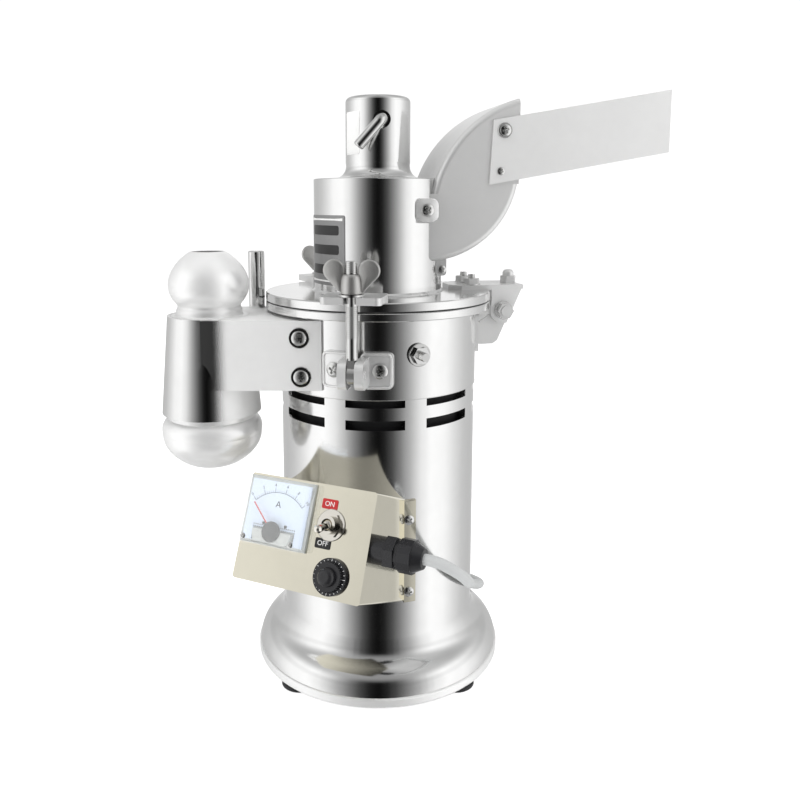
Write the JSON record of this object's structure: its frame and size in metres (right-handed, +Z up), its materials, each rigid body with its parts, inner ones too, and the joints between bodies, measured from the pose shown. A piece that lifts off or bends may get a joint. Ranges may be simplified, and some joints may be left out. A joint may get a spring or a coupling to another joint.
{
  "type": "analytical lab mill",
  "caption": "Upright bench hammer mill with a hinged lid, feed tray, swing-bolt clamps, side powder outlet and a small control box with meter and toggle switch.",
  "frame": {"origin": "on the motor axis at the bench, in the plane of the rubber feet", "axes": "+Z up along the motor axis, the front of the mill faces -Y, the feed tray points to +X"},
  "size_m": [0.3815, 0.3746, 0.4427],
  "materials": {
    "polished_steel": "mirror polished stainless steel",
    "satin_steel": "satin stainless steel",
    "panel_steel": "fine brushed stainless steel with a warm tint",
    "fastener_steel": "turned steel",
    "cast_steel": "cast, blasted and satin",
    "hammer_steel": "machined steel",
    "iron_core": "dark laminated iron",
    "winding_copper": "varnished copper",
    "fan_plastic": "moulded",
    "foot_rubber": "matte",
    "gasket_rubber": "matte",
    "black_plastic": "moulded, slightly glossy",
    "switch_metal": "nickel plated",
    "dial_white": "white dial card",
    "needle_red": "matt paint",
    "clear_cover": "clear moulded cover",
    "cord_grey": "light grey PVC sheath"
  },
  "bodies": {
    "mill": {"air_outlet_neck": "polished_steel", "bag_post": "polished_steel", "base_plate": "iron_core", "base_rim": "polished_steel", "breaker_body": "black_plastic", "cable_gland": "black_plastic", "chamber_gasket": "gasket_rubber", "chamber_housing": "polished_steel", "chamber_stud": "polished_steel", "control_box": "panel_steel", "cord_coil": "cord_grey", "discharge_body": "polished_steel", "front_clamp_lugs": "satin_steel", "hinge_bolt": "fastener_steel", "hinge_bracket": "satin_steel", "lower_bearing": "iron_core", "lower_bearing_bracket": "iron_core", "lower_winding": "winding_copper", "meter_case": "black_plastic", "meter_dial": "dial_white", "meter_window": "clear_cover", "motor_housing": "polished_steel", "powder_outlet_neck": "polished_steel", "power_cord": "cord_grey", "power_plug": "black_plastic", "rear_clamp_lugs": "satin_steel", "rubber_foot_front_left": "foot_rubber", "rubber_foot_front_right": "foot_rubber", "rubber_foot_rear_left": "foot_rubber", "rubber_foot_rear_right": "foot_rubber", "sieve_screen": "hammer_steel", "stator_core": "iron_core", "switch_body": "switch_metal", "toothed_liner": "hammer_steel", "upper_bearing": "iron_core", "upper_winding": "winding_copper"},
    "rotor": {"rotor_shaft": "hammer_steel", "armature_core": "iron_core", "cooling_fan": "fan_plastic", "hammer_hub": "hammer_steel", "upper_hammer_bar": "hammer_steel", "lower_hammer_bar": "hammer_steel"},
    "lid": {"lid_plate": "polished_steel", "feed_cylinder": "polished_steel", "feed_neck": "satin_steel", "front_fork_tab": "satin_steel", "rear_fork_tab": "satin_steel", "hinge_strap": "satin_steel", "hopper": "satin_steel", "feed_tray": "satin_steel"},
    "feed_lever": {"feed_lever": "fastener_steel"},
    "front_clamp_bolt": {"front_clamp_bolt": "fastener_steel"},
    "front_clamp_washer": {"front_clamp_washer": "fastener_steel"},
    "front_wing_nut": {"front_wing_nut": "cast_steel"},
    "rear_clamp_bolt": {"rear_clamp_bolt": "fastener_steel"},
    "rear_clamp_washer": {"rear_clamp_washer": "fastener_steel"},
    "rear_wing_nut": {"rear_wing_nut": "cast_steel"},
    "switch_lever": {"switch_lever": "switch_metal"},
    "reset_button": {"reset_button": "black_plastic"},
    "meter_needle": {"meter_needle": "needle_red"}
  },
  "joints": [
    {"name": "rotor_spin", "type": "hinge", "parent": "mill", "child": "rotor", "pos_m": [0, 0, 0.1], "axis": [0, 0, 1], "continuous": true},
    {"name": "lid_hinge", "type": "hinge", "parent": "mill", "child": "lid", "pos_m": [0.0941, 0.01744, 0.2751], "axis": [-0.1822, 0.9833, 0], "range_deg": [0, 90]},
    {"name": "feed_lever_turn", "type": "hinge", "parent": "lid", "child": "feed_lever", "pos_m": [0.0029, -0.027, 0.4175], "axis": [0, -1, 0], "range_deg": [-40, 40]},
    {"name": "front_clamp_swing", "type": "hinge", "parent": "mill", "child": "front_clamp_bolt", "pos_m": [-0.0174, -0.09034, 0.2433], "axis": [0.982, -0.1891, 0], "range_deg": [0, 100]},
    {"name": "front_washer_rise", "type": "slide", "parent": "front_clamp_bolt", "child": "front_clamp_washer", "axis": [0, 0, 1], "range_m": [0, 0.0052]},
    {"name": "front_nut_spin", "type": "hinge", "parent": "front_clamp_washer", "child": "front_wing_nut", "pos_m": [-0.0174, -0.09034, 0.2433], "axis": [0, 0, 1], "range_deg": [0, 1440]},
    {"name": "rear_clamp_swing", "type": "hinge", "parent": "mill", "child": "rear_clamp_bolt", "pos_m": [-0.04862, 0.0781, 0.2433], "axis": [-0.849, -0.5284, 0], "range_deg": [0, 100]},
    {"name": "rear_washer_rise", "type": "slide", "parent": "rear_clamp_bolt", "child": "rear_clamp_washer", "axis": [0, 0, 1], "range_m": [0, 0.0052]},
    {"name": "rear_nut_spin", "type": "hinge", "parent": "rear_clamp_washer", "child": "rear_wing_nut", "pos_m": [-0.04862, 0.0781, 0.2433], "axis": [0, 0, 1], "range_deg": [0, 1440]},
    {"name": "switch_throw", "type": "hinge", "parent": "mill", "child": "switch_lever", "pos_m": [-0.03243, -0.11499, 0.14836], "axis": [0.907, -0.421, 0], "range_deg": [-26, 0]},
    {"name": "reset_press", "type": "slide", "parent": "mill", "child": "reset_button", "axis": [0.3856, 0.8308, -0.4013], "range_m": [0, 0.0025], "stiffness_N_per_m": 300},
    {"name": "needle_swing", "type": "hinge", "parent": "mill", "child": "meter_needle", "pos_m": [-0.07202, -0.10385, 0.13934], "axis": [0.3856, 0.8308, -0.4013], "range_deg": [0, 90], "stiffness_Nm_per_rad": 0.00002}
  ]
}
